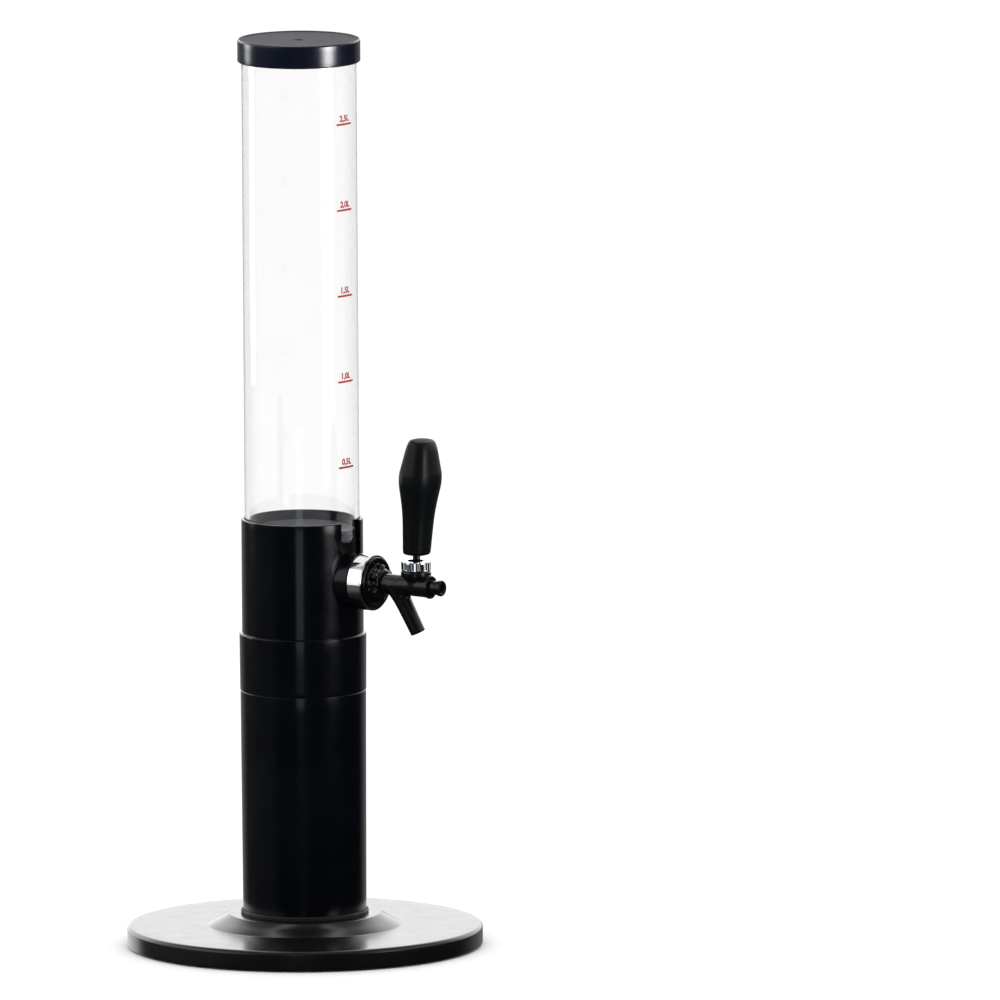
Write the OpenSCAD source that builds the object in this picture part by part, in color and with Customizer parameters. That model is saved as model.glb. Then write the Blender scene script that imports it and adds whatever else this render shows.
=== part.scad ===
// Table beer tower: weighted round base, column, clear tank with lid, one tap.
// Origin: centre of the underside. +Z up, the tap points along -Y.

/* [Base] */
// Diameter of the round base
base_d = 310; // [304:1:340]
// Height of the base's flat top above the table
base_top = 18.5; // [18:0.5:22]
// Radius of the rounded rim of the base
base_rim = 3.7; // [2:0.1:4]
// Height of the raised centre above the table
hub_top = 29; // [28:0.5:31]
// Number of rubber feet under the base
foot_count = 6; // [4:1:8]

/* [Column] */
// Outer radius of the column at its foot
column_r_low = 53.75; // [53.5:0.05:54]
// Outer radius of the column at its top
column_r_high = 54.75; // [54.5:0.05:55]
// Wall of the column
column_wall = 3.5; // [3.2:0.1:3.6]
// Height of the column's top edge above the table
column_top = 226; // [210:1:240]

/* [Collar and housing] */
// Height of the coupling collar
collar_h = 50; // [46:1:56]
// Height of the housing sleeve above the collar
housing_h = 100.4; // [98:0.2:104]
// Outer radius of the housing sleeve
housing_r = 53; // [52.8:0.1:53.4]
// Width of the slot above the tap
slot_w = 30.4; // [30.2:0.1:31]

/* [Tank] */
// Outer radius of the clear tube
tube_r = 50; // [49.9:0.05:50.1]
// Wall of the clear tube
tube_wall = 4; // [3.9:0.05:4.1]
// Length of the clear tube
tube_l = 434; // [380:1:460]
// Distance between two half litre marks
mark_step = 75.2; // [74:0.1:76]
// Height of the first half litre mark above the cup's shoulder
mark_first = 66; // [60:1:72]

/* [Lid] */
// Outer radius of the lid
lid_r = 53.5; // [53:0.1:54.5]
// Height of the lid
lid_h = 20; // [18:0.5:24]
// Radius of the vent hole in the lid
vent_r = 2; // [1.5:0.1:3]

/* [Tap] */
// Radius of the chrome ring behind the tap
ring_r = 24.6; // [23:0.2:24.8]
// Radius of the lobed coupling disc
disc_r = 22.2; // [20:0.1:22.4]
// Distance from the tower's axis to the lever
lever_at = 118; // [117.5:0.1:118.5]
// Angle of the spout from the vertical
spout_lean = 30; // [28:1:32]
// Length of the spout from the barrel's axis
spout_l = 46.8; // [44:0.2:48]
// Lean of the handle when the tap is closed
handle_lean = 3.6; // [2:0.2:4]
// Length of the black handle
handle_l = 101.4; // [96:0.2:106]

/* [Hidden] */
base_r = base_d / 2;
collar_top = column_top + collar_h;          // 276
housing_top = collar_top + housing_h;        // 376.4
ledge_z = collar_top + 22;                   // the tank's cup stands here
shoulder_z = collar_top + 83;                // the tube stands here on the cup
tap_z = collar_top + 49;                     // axis of the tap
tube_top = shoulder_z + tube_l;
ball_up = 15.5;                              // lever ball above the tap's axis
arm_l = 16.2;                                // ball centre to the rod's pocket
grip_low = 28.5;                             // foot of the handle above the tap's axis
$fn = 96;

black = [0.03, 0.035, 0.045];
chrome_c = [0.85, 0.85, 0.87];
steel_c = [0.6, 0.6, 0.62];
rubber_c = [0.08, 0.08, 0.08];

// points of an arc, for turned profiles
function arc(cx, cz, r, a0, a1, n = 8) =
    [for (i = [0 : n]) [cx + r * cos(a0 + (a1 - a0) * i / n), cz + r * sin(a0 + (a1 - a0) * i / n)]];

// puts children, drawn along +Z, on the tap's axis: local z is the distance
// from the tower's axis and local y is up
module on_tap() { translate([0, 0, tap_z]) rotate([90, 0, 0]) children(); }
// a plain ring between two radii
module ring(ro, ri, z0, z1) { rotate_extrude() translate([ri, z0]) square([ro - ri, z1 - z0]); }
// places children evenly on a circle
module round_of(n, r, start = 0) { for (i = [0 : n - 1]) rotate([0, 0, start + i * 360 / n]) translate([r, 0, 0]) children(); }
// hexagonal prism with a hole, a = size across flats
module hex_nut(a, hole_r, z0, z1) {
    difference() {
        translate([0, 0, z0]) cylinder(r = a / 2 / cos(30), h = z1 - z0, $fn = 6);
        translate([0, 0, z0 - 1]) cylinder(r = hole_r, h = z1 - z0 + 2);
    }
}

// ---------- stand ----------
module foot_pads() {
    color(rubber_c) round_of(foot_count, 124, 30)
        rotate_extrude() polygon([[0, 0], [11.4, 0], [12, 0.6], [12, 2.2], [0, 2.2]]);
}

module base_cover() {
    color(black) difference() {
        rotate_extrude() polygon([[0, 1.7], [151.2, 1.7], [151.7, 2.2], [151.7, 4.2], [0, 4.2]]);
        round_of(foot_count, 124, 30) translate([0, 0, 1]) cylinder(r = 12.2, h = 1.2);
        round_of(6, 142) translate([0, 0, 1]) cylinder(r = 2.2, h = 4);
        round_of(6, 142) translate([0, 0, 1.6]) cylinder(r1 = 4.3, r2 = 2.2, h = 2.1);
    }
}

module base_screws() {
    color(steel_c) round_of(6, 142) rotate_extrude()
        polygon([[0, 1.9], [3.85, 1.9], [1.9, 3.8], [1.55, 4.1], [1.55, 12.5], [0.8, 13.4], [0, 13.4]]);
}

module ballast_plate() {
    color(steel_c) difference() {
        ring(135, 62, 4.2, 10.2);
        round_of(3, 98, 20) translate([0, 0, 3]) cylinder(r = 5, h = 9);
    }
}

module base_shell() {
    color(black) difference() {
        union() {
            rotate_extrude($fn = 180) polygon(concat(
                [[base_r - 2.6, 1.2]], arc(base_r - 1.8, 3, 1.8, -60, 0, 4),
                arc(base_r - base_rim, base_top - base_rim, base_rim, 0, 90, 8),
                arc(85.5, base_top + 5, 5, -90, -126, 4),
                arc(65.4, hub_top - 2.6, 2.6, 40, 90, 5),
                [[54.35, hub_top], [54.05, hub_top - 0.3], [54.05, 25], [50.3, 25], [50.3, 18], [57, 18],
                 [57, 25.5], [64.2, 25.5], [78.5, 15.5], [150, 15.5], [152, 13.5], [152, 1.2]]));
            round_of(6, 142) translate([0, 0, 4.3]) cylinder(r = 4.6, h = 12);
        }
        round_of(6, 142) translate([0, 0, 4]) cylinder(r = 1.6, h = 10);
    }
}

// flanged spigot under the hub: the column slides over it
module column_socket() {
    color(black) rotate_extrude() polygon([
        [4.4, 14], [55, 14], [55.6, 14.6], [55.6, 18], [50, 18], [50, 57.2], [49.2, 58], [47.6, 58],
        [47, 57.4], [47, 18], [4.4, 18]]);
}

module foot_ring() {
    color(rubber_c) rotate_extrude() polygon(concat(
        [[54.0, hub_top], [55.4, hub_top]], arc(54.5, hub_top + 2.6, 1.1, -10, 90, 5), [[54.05, hub_top + 3.7]]));
}

module column() {
    color(black) rotate_extrude() polygon([
        [column_r_low - column_wall, 25], [column_r_low - 0.4, 25], [column_r_low, 25.4],
        [column_r_high, column_top - 0.7], [column_r_high - 0.6, column_top],
        [column_r_high - column_wall, column_top]]);
}

module tie_rod() { color(steel_c) translate([0, 0, 5]) cylinder(r = 4, h = column_top + 7); }
module tie_nuts() {
    color(steel_c) { hex_nut(13, 4.02, 5.9, 12.4); hex_nut(13, 4.02, column_top + 5.6, column_top + 12.1); }
}
module tie_washers() {
    color(steel_c) { ring(12, 4.3, 12.4, 14); ring(12, 4.3, column_top + 4, column_top + 5.6); }
}

module collar() {
    color(black) rotate_extrude() polygon(concat(
        [[4.4, column_top], [47.8, column_top], [47.8, column_top - 18], [50.6, column_top - 18],
         [50.95, column_top - 17.4], [50.95, column_top], [54.6, column_top], [54.95, column_top + 0.5]],
        arc(54.3, collar_top - 1, 1, 0, 90, 5),
        [[51.75, collar_top], [51.75, collar_top - 22], [48, collar_top - 22], [48, column_top + 4], [4.4, column_top + 4]]));
}

module housing() {
    color(black) difference() {
        rotate_extrude() polygon(concat(
            [[48.9, collar_top - 21.6], [51.3, collar_top - 21.6], [51.6, collar_top - 21], [51.6, collar_top],
             [housing_r, collar_top]],
            arc(housing_r - 0.9, housing_top - 0.9, 0.9, 0, 90, 5),
            [[51.1, housing_top], [50.6, housing_top - 0.5], [50.6, ledge_z], [44, ledge_z], [44, ledge_z - 4],
             [48.9, ledge_z - 8.9]]));
        // slot that the tap drops into
        on_tap() translate([0, 0, 42]) cylinder(r = slot_w / 2, h = 20);
        translate([-slot_w / 2, -62, tap_z]) cube([slot_w, 20, housing_top - tap_z + 2]);
    }
}

// ---------- tank ----------
// sleeve of the cup; a rib inside carries the plug
module tank_cup() {
    color(black) difference() {
        union() {
            rotate_extrude() polygon([
                [50, ledge_z + 0.6], [50, shoulder_z], [47, shoulder_z], [47, shoulder_z - 6],
                [45.5, shoulder_z - 6], [45.5, shoulder_z - 7.5], [47, shoulder_z - 9], [47, ledge_z],
                [49.4, ledge_z]]);
            // pad for the shank on the wall
            intersection() {
                on_tap() translate([0, 0, 43.5]) cylinder(r = 16, h = 10);
                translate([0, 0, tap_z - 20]) cylinder(r = 49, h = 40);
            }
        }
        on_tap() translate([0, 0, 30]) cylinder(r = 8.3, h = 24);
    }
}

// sloped floor that closes the tube, with the groove for its seal
module tank_plug() {
    color(black) rotate_extrude() polygon([
        [47, shoulder_z - 6], [47, shoulder_z], [45.8, shoulder_z], [45.8, shoulder_z + 2.6],
        [44.2, shoulder_z + 2.6], [44.2, shoulder_z + 5.2], [45.8, shoulder_z + 5.2],
        [45.8, shoulder_z + 8.8], [45.1, shoulder_z + 9.5], [43.6, shoulder_z + 9.5],
        [17, shoulder_z + 6.2], [15.6, shoulder_z + 5.6], [15, shoulder_z + 4.4], [15, shoulder_z + 1.5],
        [41.2, shoulder_z + 1.5], [41.2, shoulder_z - 2.5], [43, shoulder_z - 6]]);
}

// drain well under the plug, with the port for the shank
module drain_sump() {
    color(black) difference() {
        union() {
            rotate_extrude() polygon([
                [15, shoulder_z + 1.5], [15, tap_z - 15], [12, tap_z - 18], [0, tap_z - 18], [0, tap_z - 21],
                [14, tap_z - 21], [18, tap_z - 17], [18, shoulder_z - 1], [22, shoulder_z - 1],
                [22, shoulder_z + 1.5]]);
            on_tap() translate([0, 0, 15.6]) cylinder(r = 12.5, h = 7.9);
        }
        on_tap() translate([0, 0, 10]) cylinder(r = 7.1, h = 12.6);
        on_tap() translate([0, 0, 22.5]) cylinder(r = 8.3, h = 4);
        // the well stays round where the port meets it
        translate([0, 0, tap_z - 15]) cylinder(r = 15, h = 30);
    }
}

module tube_seal() {
    color(rubber_c) rotate_extrude() translate([45.1, shoulder_z + 3.9]) circle(r = 0.85, $fn = 24);
}

module tank_tube() {
    color([0.85, 0.9, 0.95, 0.35]) rotate_extrude() polygon([
        [tube_r - tube_wall, shoulder_z], [tube_r - 0.4, shoulder_z], [tube_r, shoulder_z + 0.4],
        [tube_r, tube_top - 0.6], [tube_r - 0.6, tube_top], [tube_r - tube_wall + 0.6, tube_top],
        [tube_r - tube_wall, tube_top - 0.6]]);
}

module scale_marks() {
    color([0.75, 0.08, 0.08]) for (i = [0 : 4])
        rotate([0, 0, 265 - 11.5]) rotate_extrude(angle = 23)
            translate([tube_r + 0.02, shoulder_z + mark_first + i * mark_step - 0.85]) square([0.14, 1.7]);
}

module lid() {
    top = tube_top + 4;
    color([0.04, 0.06, 0.1]) difference() {
        rotate_extrude() polygon(concat(
            [[50.5, top - lid_h + 0.8], [51.1, top - lid_h], [lid_r - 1, top - lid_h]],
            arc(lid_r - 1, top - lid_h + 1, 1, -60, 0, 3),
            arc(lid_r - 3.6, top - 3.6, 3.6, 0, 90, 8),
            [[49.6, top], [48.4, top - 0.7], [30, top - 1.1], [0, top - 1.3], [0, tube_top], [50.5, tube_top]]));
        translate([0, 0, tube_top - 1]) cylinder(r = vent_r, h = 8);
        translate([0, 0, top - 2.1]) cylinder(r1 = vent_r, r2 = vent_r + 1.6, h = 1.6);
    }
}

// ---------- tap ----------
module saddle() {
    color(black) difference() {
        union() {
            on_tap() translate([0, 0, 40]) cylinder(r = 14.8, h = 20.4);
            on_tap() translate([0, 0, 44]) cylinder(r = 24.2, h = 17.4);
        }
        // follows the cup inside the slot and the housing outside it
        translate([0, 0, tap_z - 40]) cylinder(r = 50.15, h = 80);
        difference() {
            translate([0, 0, tap_z - 40]) cylinder(r = housing_r + 0.4, h = 80);
            on_tap() translate([0, 0, 40]) cylinder(r = 14.8, h = 30);
        }
        on_tap() translate([0, 0, 40]) cylinder(r = 8.3, h = 30);
    }
}

module escutcheon() {
    color(chrome_c) on_tap() rotate_extrude() polygon(concat(
        [[8.3, 72.6], [21.8, 72.6], [21.8, 61.5], [ring_r - 1.2, 61.5]],
        arc(ring_r - 0.9, 62.5, 0.9, -60, 0, 3),
        arc(ring_r - 1.6, 74.4, 1.6, 0, 90, 5),
        [[8.3, 76]]));
}

module shank() {
    color(chrome_c) on_tap() difference() {
        rotate_extrude() polygon([
            [0, 15.2], [6.6, 15.2], [6.9, 15.6], [6.9, 18], [5.7, 18], [5.7, 20.2], [6.9, 20.2], [6.9, 23],
            [8, 23.6], [8, 76], [11, 76], [11, 78], [0, 78]]);
        translate([0, 0, 14]) cylinder(r = 4, h = 60);
        translate([0, 0, 66]) cylinder(r = 6, h = 13);
    }
}

module port_seal() {
    color(rubber_c) on_tap() rotate_extrude() translate([6.38, 19.1]) circle(r = 0.68, $fn = 24);
}
module shank_nut() { color(steel_c) on_tap() hex_nut(24, 8.02, 33.4, 41.4); }
module shank_washer() { color(rubber_c) on_tap() ring(13.5, 8.1, 41.4, 43.5); }

module coupling_ring() {
    color(black) on_tap() difference() {
        union() {
            rotate_extrude() polygon(concat(
                [[11.2, 76.1], [disc_r - 1, 76.1]], arc(disc_r - 1.3, 77.4, 1.3, -60, 90, 6),
                [[20.4, 78.3], [16.5, 77.9], [14.2, 78.6], [13.2, 80.4], [12.7, 84], [11.6, 85.6],
                 [10.2, 86], [9.1, 86], [9.1, 80.8], [11.2, 80.8]]));
            // finger lobes
            round_of(6, 12.9, 30) intersection() {
                translate([0, 0, 78]) cylinder(r = 3.4, h = 6.4);
                translate([0, 0, 79]) sphere(r = 5.8, $fn = 40);
            }
        }
        translate([0, 0, 75]) cylinder(r = 11.2, h = 5.8);
        translate([0, 0, 80]) cylinder(r = 9.1, h = 8);
    }
}

module tap_body() {
    color(black) difference() {
        union() {
            on_tap() rotate_extrude() polygon(concat(
                [[0, 78], [10.9, 78], [10.9, 80.6], [8.8, 80.6], [8.7, 104], [9.1, 128], [9.2, 131.4]],
                arc(9.4, 132.2, 0.7, -60, 0, 3), [[10.1, 133.4], [9.7, 134], [0, 134]]));
            // spout
            translate([0, -96.5, tap_z]) rotate([-spout_lean, 0, 0]) rotate([180, 0, 0])
                rotate_extrude() polygon([[0, 0], [8.4, 0], [8.4, 8], [7.6, 14], [7.2, 22], [6.6, spout_l - 0.5],
                                          [6.3, spout_l], [0, spout_l]]);
            // boss under the bonnet
            translate([0, -lever_at, tap_z]) rotate_extrude() polygon([
                [0, 0], [8.6, 0], [9.2, 5.5], [12.6, 8.6], [13.2, 9.4], [13.2, 12.4], [12.4, 13.5],
                [9.4, 13.5], [9.4, 17.7], [0, 17.7]]);
        }
        // valve chamber, seat, passage, shaft guide and end bore
        on_tap() translate([0, 0, 77]) cylinder(r = 6, h = 9.5);
        on_tap() translate([0, 0, 80]) cylinder(r = 4.7, h = 22.6);
        on_tap() translate([0, 0, 102.5]) cylinder(r = 5.6, h = 2.1);
        on_tap() translate([0, 0, 104]) cylinder(r = 4, h = 24);
        on_tap() translate([0, 0, 127]) cylinder(r = 5.6, h = 8);
        // spout bore
        translate([0, -96.5, tap_z]) rotate([-spout_lean, 0, 0]) rotate([180, 0, 0])
            cylinder(r = 5, h = spout_l + 1);
        translate([0, -96.5, tap_z]) rotate([-spout_lean, 0, 0]) rotate([180, 0, 0])
            translate([0, 0, spout_l - 10]) cylinder(r = 5.4, h = 11);
        // slot that the lever's arm swings in, and the ball's seat
        translate([-2.6, -120.4, tap_z + 2]) cube([5.2, 12.4, 10.5]);
        translate([0, -lever_at, tap_z + ball_up]) sphere(r = 5.6);
        translate([0, -lever_at, tap_z + ball_up]) cylinder(r = 5.6, h = 4);
        translate([0, -lever_at, tap_z + ball_up]) cylinder(r = 8.3, h = 4);
        // lower half of the bearing for the ball's ears
        translate([-7.8, -lever_at, tap_z + ball_up]) rotate([0, 90, 0]) cylinder(r = 1.3, h = 15.6);
    }
}

module rod_seal() {
    color(rubber_c) on_tap() rotate_extrude() translate([4.78, 103.55]) circle(r = 0.78, $fn = 24);
}

module end_cap() {
    color(black) on_tap() difference() {
        rotate_extrude() polygon(concat(
            [[0, 128], [4.6, 128], [4.6, 130], [5.45, 130], [5.5, 134], [6.3, 134], [6.1, 140.6], [6.6, 141.6]],
            arc(6.2, 142.6, 0.8, 0, 0, 1), arc(6.2, 144.6, 0.8, 0, 80, 4), [[5.2, 145.4], [4.6, 144.8], [0, 144.6]]));
        translate([0, 0, 143]) cylinder(r = 3.1, h = 3, $fn = 6);
    }
}

module end_seal() {
    color(rubber_c) on_tap() rotate_extrude() translate([5.05, 129.0]) circle(r = 0.44, $fn = 24);
}

module bonnet() {
    color(chrome_c) translate([0, -lever_at, tap_z]) difference() {
        rotate_extrude() polygon([[9.5, 13.6], [12.3, 13.6], [12.9, 14.2], [12.9, 21.4], [11.9, 22.4],
                                  [8.9, 22.4], [5.9, 17.8], [9.5, 17.8]]);
        // spanner notches
        round_of(12, 13.9, 15) translate([0, 0, 15]) cylinder(r = 1.9, h = 9, $fn = 32);
    }
}

module ball_ring() {
    color([0.9, 0.9, 0.86]) translate([0, -lever_at, tap_z]) difference() {
        ring(8.2, 4.2, ball_up, 17.6);
        translate([0, 0, ball_up]) sphere(r = 5.6);
        translate([-9, 0, ball_up]) rotate([0, 90, 0]) cylinder(r = 1.3, h = 18);
    }
}

// ---------- handle ----------
module lever() {
    color(black) translate([0, -lever_at, tap_z + ball_up]) union() {
        sphere(r = 5.5);
        // ears that the lever turns on
        translate([-7.6, 0, 0]) rotate([0, 90, 0]) cylinder(r = 1.25, h = 15.2);
        translate([0, 0, -arm_l]) cylinder(r = 1.6, h = arm_l);
        translate([0, 0, -arm_l]) sphere(r = 2, $fn = 48);
        rotate([handle_lean, 0, 0]) rotate_extrude() polygon([
            [0, 0], [2.9, 0], [2.9, 8], [3.3, 8.6], [3.0, 12.2], [3.9, 12.9], [2.95, 13.0], [2.95, 26], [2.4, 26.8], [0, 26.8]]);
    }
}

module handle_insert() {
    color([0.75, 0.6, 0.3]) translate([0, -lever_at, tap_z + ball_up]) rotate([handle_lean, 0, 0])
        ring(4.6, 2.97, 13.1, 27.5);
}

// half width of the grip across X at height h, and the ring of points there
grip_h = [0, 0.9, 3, 10, 20, 30, 38, 46, 54, 60, 65, 70, 76, 82, 88, 93, 97, 99.6, 100.9, 101.4];
grip_a = [11.9, 12.8, 13.3, 13.7, 14.3, 15.0, 15.9, 17.2, 18.7, 19.9, 20.4, 20.3, 19.1, 17.7, 16.3, 15.0, 13.5, 12.1, 10.8, 9.0];
grip_sides = 40;
function sgn_pow(v, p) = (v < 0 ? -1 : 1) * pow(abs(v), p);
function grip_ring(a, h) = [for (k = [0 : grip_sides - 1]) let (t = 360 * (k + 0.5) / grip_sides)
    [a * sgn_pow(cos(t), 0.77), 0.78 * a * sgn_pow(sin(t), 0.77), h]];

module handle_grip() {
    n = len(grip_h);
    s = handle_l / 101.4;
    pts = [for (i = [0 : n - 1]) each grip_ring(grip_a[i], grip_h[i] * s)];
    faces = concat(
        [[for (k = [0 : grip_sides - 1]) k]],
        [for (i = [0 : n - 2]) for (k = [0 : grip_sides - 1])
            let (a = i * grip_sides + k, b = i * grip_sides + (k + 1) % grip_sides)
            [a, a + grip_sides, b + grip_sides, b]],
        [[for (k = [grip_sides - 1 : -1 : 0]) (n - 1) * grip_sides + k]]);
    color(black) translate([0, -lever_at, tap_z + ball_up]) rotate([handle_lean, 0, 0])
        difference() {
            translate([0, 0, grip_low - ball_up]) polyhedron(points = pts, faces = faces);
            translate([0, 0, 12]) cylinder(r = 4.65, h = 16.5);
        }
}

// ---------- valve ----------
module valve_rod() {
    color(steel_c) difference() {
        on_tap() rotate_extrude() polygon([
            [0, 83.2], [5.2, 83.2], [5.2, 85], [2.9, 85], [2.9, 100.6], [3.95, 101.6], [3.95, 125.6],
            [3.5, 126.2], [0, 126.2]]);
        // pocket for the lever's tip
        translate([-2.4, -lever_at - 2.35, tap_z - 3.1]) cube([4.8, 4.7, 9]);
        translate([-2.4, -lever_at - 3.9, tap_z + 0.6]) cube([4.8, 4, 9]);
    }
}

module valve_seal() { color(rubber_c) on_tap() ring(5.6, 2.95, 85, 86.5); }

foot_pads();
base_cover();
base_screws();
ballast_plate();
base_shell();
column_socket();
foot_ring();
column();
tie_rod();
tie_nuts();
tie_washers();
collar();
housing();
tank_cup();
tank_plug();
drain_sump();
tube_seal();
tank_tube();
scale_marks();
lid();
saddle();
escutcheon();
shank();
shank_nut();
shank_washer();
port_seal();
coupling_ring();
tap_body();
rod_seal();
end_cap();
end_seal();
bonnet();
ball_ring();
lever();
handle_grip();
handle_insert();
valve_rod();
valve_seal();
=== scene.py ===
import math

import bmesh
import bpy
import numpy as np
from mathutils import Matrix, Quaternion, Vector


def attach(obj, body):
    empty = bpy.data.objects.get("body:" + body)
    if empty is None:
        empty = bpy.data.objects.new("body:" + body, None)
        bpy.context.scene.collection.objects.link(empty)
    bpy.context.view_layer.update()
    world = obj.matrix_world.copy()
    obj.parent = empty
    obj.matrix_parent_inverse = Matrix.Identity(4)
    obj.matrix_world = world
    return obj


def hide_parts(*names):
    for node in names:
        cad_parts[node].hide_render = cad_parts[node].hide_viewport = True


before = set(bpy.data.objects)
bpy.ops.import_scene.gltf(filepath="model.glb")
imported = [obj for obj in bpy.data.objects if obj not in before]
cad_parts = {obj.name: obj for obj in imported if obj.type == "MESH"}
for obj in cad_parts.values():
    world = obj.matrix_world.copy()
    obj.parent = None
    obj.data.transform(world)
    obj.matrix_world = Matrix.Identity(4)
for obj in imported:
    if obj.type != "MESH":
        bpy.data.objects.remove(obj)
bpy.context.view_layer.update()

MM = 0.001
TAP = 325.0        # height of the tap's axis
LEVER = 118.0      # distance from the tower's axis to the lever
LEAN = math.radians(3.6)

# ------------------------------------------------------------------ profiles


def arc(cx, cz, r, a0, a1, n=10):
    return [(cx + r * math.cos(math.radians(a0 + (a1 - a0) * i / n)),
             cz + r * math.sin(math.radians(a0 + (a1 - a0) * i / n))) for i in range(n + 1)]


def rounded(points, step=11.0):
    """Closed outline with its corners rounded; a point is (x, z) or (x, z, radius)."""
    out = []
    n = len(points)
    for i in range(n):
        p = np.array(points[i][:2], float)
        r = points[i][2] if len(points[i]) > 2 else 0.0
        a, b = np.array(points[i - 1][:2], float), np.array(points[(i + 1) % n][:2], float)
        la, lb = np.linalg.norm(a - p), np.linalg.norm(b - p)
        if r <= 0 or la < 1e-9 or lb < 1e-9:
            out.append(tuple(p))
            continue
        u, w = (a - p) / la, (b - p) / lb
        ang = math.acos(max(-1.0, min(1.0, float(u @ w))))
        if ang > math.pi - 0.02 or ang < 0.02:
            out.append(tuple(p))
            continue
        t = min(r / math.tan(ang / 2), 0.46 * la, 0.46 * lb)
        r = t * math.tan(ang / 2)
        c = p + (u + w) / np.linalg.norm(u + w) * (r / math.sin(ang / 2))
        s, e = p + u * t - c, p + w * t - c
        a0, a1 = math.atan2(s[1], s[0]), math.atan2(e[1], e[0])
        d = (a1 - a0 + math.pi) % (2 * math.pi) - math.pi
        k = max(2, int(math.ceil(abs(math.degrees(d)) / step)))
        out += [(c[0] + r * math.cos(a0 + d * j / k), c[1] + r * math.sin(a0 + d * j / k)) for j in range(k + 1)]
    return out


def subdivided(prof, longest):
    """Splits the long lines of a closed outline, so that a turned mesh has even faces."""
    out = []
    for i, p in enumerate(prof):
        q = prof[(i + 1) % len(prof)]
        out.append(p)
        if p[0] < 1e-6 and q[0] < 1e-6:
            continue
        k = int(math.hypot(q[0] - p[0], q[1] - p[1]) / longest)
        out += [(p[0] + (q[0] - p[0]) * j / (k + 1), p[1] + (q[1] - p[1]) * j / (k + 1)) for j in range(1, k + 1)]
    return out


# -------------------------------------------------------------------- meshes

UP = Matrix.Identity(4)
ON_TAP = Matrix(((1, 0, 0, 0), (0, 0, -1, 0), (0, 1, 0, TAP), (0, 0, 0, 1)))


def lathe_data(prof, segs, place=UP, rmod=None):
    """Vertices and faces of a closed outline turned about its axis."""
    verts, faces, rings = [], [], []
    for k, (r, z) in enumerate(prof):
        if r < 1e-6:
            rings.append([len(verts)])
            verts.append((0.0, 0.0, z))
            continue
        rings.append(list(range(len(verts), len(verts) + segs)))
        for j in range(segs):
            th = 2 * math.pi * j / segs
            rr = r if rmod is None else rmod(r, th, z)
            verts.append((rr * math.cos(th), rr * math.sin(th), z))
    n = len(prof)
    for i in range(n):
        a, b = rings[i], rings[(i + 1) % n]
        if len(a) == 1 and len(b) == 1:
            continue
        for j in range(segs):
            k = (j + 1) % segs
            if len(a) == 1:
                faces.append((a[0], b[k], b[j]))
            elif len(b) == 1:
                faces.append((a[j], a[k], b[0]))
            else:
                faces.append((a[j], a[k], b[k], b[j]))
    verts = [tuple(place @ Vector(v)) for v in verts]
    return verts, faces


def joined(parts):
    verts, faces = [], []
    for v, f in parts:
        n = len(verts)
        verts += list(v)
        faces += [tuple(i + n for i in q) for q in f]
    return verts, faces


def mesh_of(name, data, smooth=32.0):
    verts, faces = data
    me = bpy.data.meshes.new(name)
    me.from_pydata([(v[0] * MM, v[1] * MM, v[2] * MM) for v in verts], [], faces)
    bm = bmesh.new()
    bm.from_mesh(me)
    bmesh.ops.remove_doubles(bm, verts=bm.verts, dist=1e-7)
    bmesh.ops.recalc_face_normals(bm, faces=bm.faces)
    bm.to_mesh(me)
    bm.free()
    me.shade_smooth()
    if smooth < 180:
        me.set_sharp_from_angle(angle=math.radians(smooth))
    me.update()
    return me


def piece(name, me, mat, body, slot, *nodes):
    o = bpy.data.objects.new(name, me)
    bpy.context.scene.collection.objects.link(o)
    o.data.materials.clear()
    o.data.materials.append(mat)
    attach(o, body)
    if nodes:
        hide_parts(*nodes)
    return o


def cut(me, cutter_data, smooth=32.0):
    """me minus the cutter, as a new mesh."""
    a = bpy.data.objects.new("cut_a", me)
    b = bpy.data.objects.new("cut_b", mesh_of("cut_b", cutter_data))
    for o in (a, b):
        bpy.context.scene.collection.objects.link(o)
    m = a.modifiers.new("cut", "BOOLEAN")
    m.operation, m.object, m.solver = "DIFFERENCE", b, "EXACT"
    dg = bpy.context.evaluated_depsgraph_get()
    out = bpy.data.meshes.new_from_object(a.evaluated_get(dg))
    bpy.data.objects.remove(a)
    bpy.data.objects.remove(b)
    bm = bmesh.new()
    bm.from_mesh(out)
    bmesh.ops.remove_doubles(bm, verts=bm.verts, dist=2e-7)
    bmesh.ops.dissolve_degenerate(bm, dist=1e-7, edges=bm.edges)
    bm.to_mesh(out)
    bm.free()
    out.shade_smooth()
    out.set_sharp_from_angle(angle=math.radians(smooth))
    return out


# ------------------------------------------- moulded shapes as distance fields


def sd_outline(px, py, outline):
    """Signed distance to a closed outline, below 0 inside. A line on the axis isn't a wall."""
    best = np.full(px.shape, 1e18)
    inside = np.zeros(px.shape, bool)
    n = len(outline)
    for i in range(n):
        ax, ay = outline[i]
        bx, by = outline[(i + 1) % n]
        ex, ey = bx - ax, by - ay
        if ex * ex + ey * ey < 1e-12 or (ax < 1e-9 and bx < 1e-9):
            continue
        wx, wy = px - ax, py - ay
        t = np.clip((wx * ex + wy * ey) / (ex * ex + ey * ey), 0, 1)
        best = np.minimum(best, (wx - ex * t) ** 2 + (wy - ey * t) ** 2)
        if ay != by:
            inside ^= ((ay > py) != (by > py)) & (px < ex * (py - ay) / (by - ay) + ax)
    return np.where(inside, -1.0, 1.0) * np.sqrt(best)


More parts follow.
